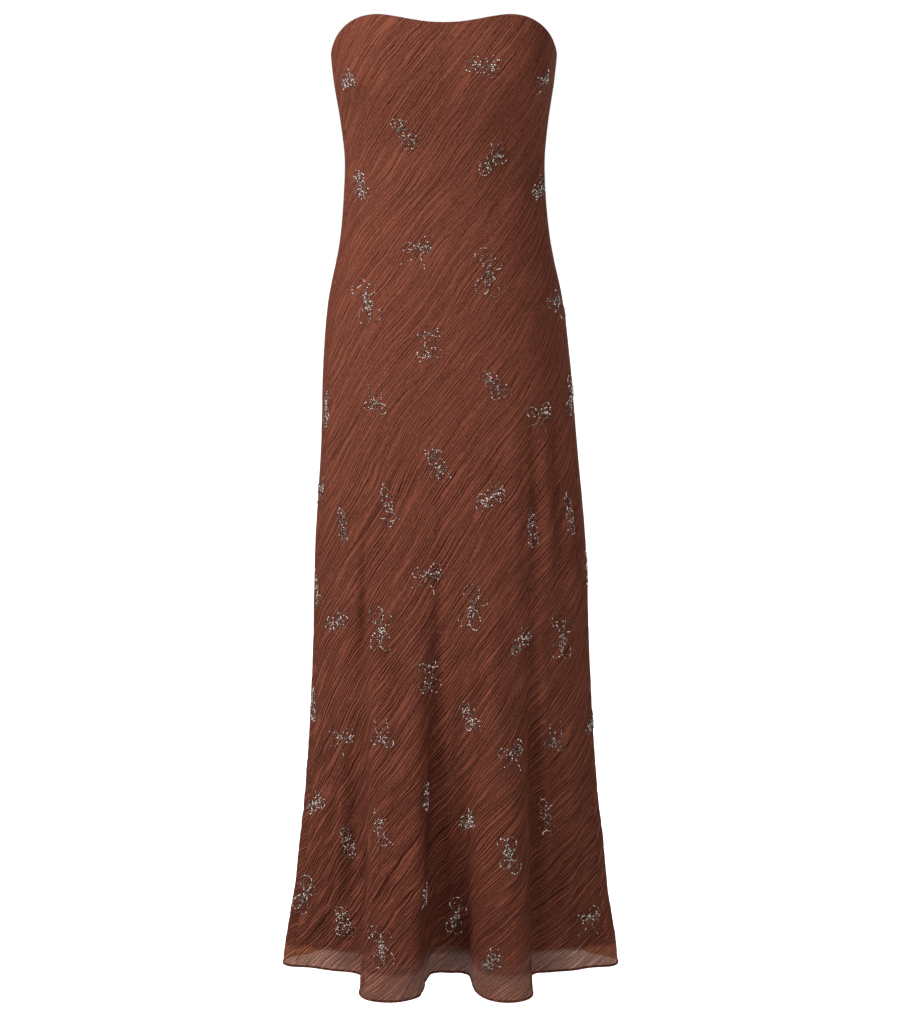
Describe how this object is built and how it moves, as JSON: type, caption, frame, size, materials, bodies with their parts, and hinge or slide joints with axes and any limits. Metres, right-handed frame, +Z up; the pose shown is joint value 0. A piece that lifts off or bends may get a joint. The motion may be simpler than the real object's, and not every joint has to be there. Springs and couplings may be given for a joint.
{
  "type": "strapless maxi dress",
  "caption": "Strapless bias-cut maxi dress of crinkled sheer cloth with beaded bow motifs, a shorter slip lining, fluted hem and back zip.",
  "frame": {"origin": "level with the tops of the two side seams, in the middle of the body, where the wearer's bust holds the dress up", "axes": "+Z up along the body, the front faces -Y, +X is the wearer's left"},
  "size_m": [0.4534, 0.3107, 1.2571],
  "materials": {
    "georgette": "crinkled matt georgette",
    "lining_satin": "plain satin-backed lining",
    "zip_metal": "enamelled to match the cloth"
  },
  "bodies": {
    "dress": {"front_panel": "georgette", "back_left_panel": "georgette", "back_right_panel": "georgette", "lining_front": "lining_satin", "lining_back_left": "lining_satin", "lining_back_right": "lining_satin", "zip_slider": "zip_metal"},
    "pull": {"zip_pull": "zip_metal"}
  },
  "joints": [
    {"name": "zip_pull_hinge", "type": "hinge", "parent": "dress", "child": "pull", "pos_m": [-0.0025, 0.09344, -0.0415], "axis": [1, 0, 0], "range_deg": [0, 150]}
  ]
}
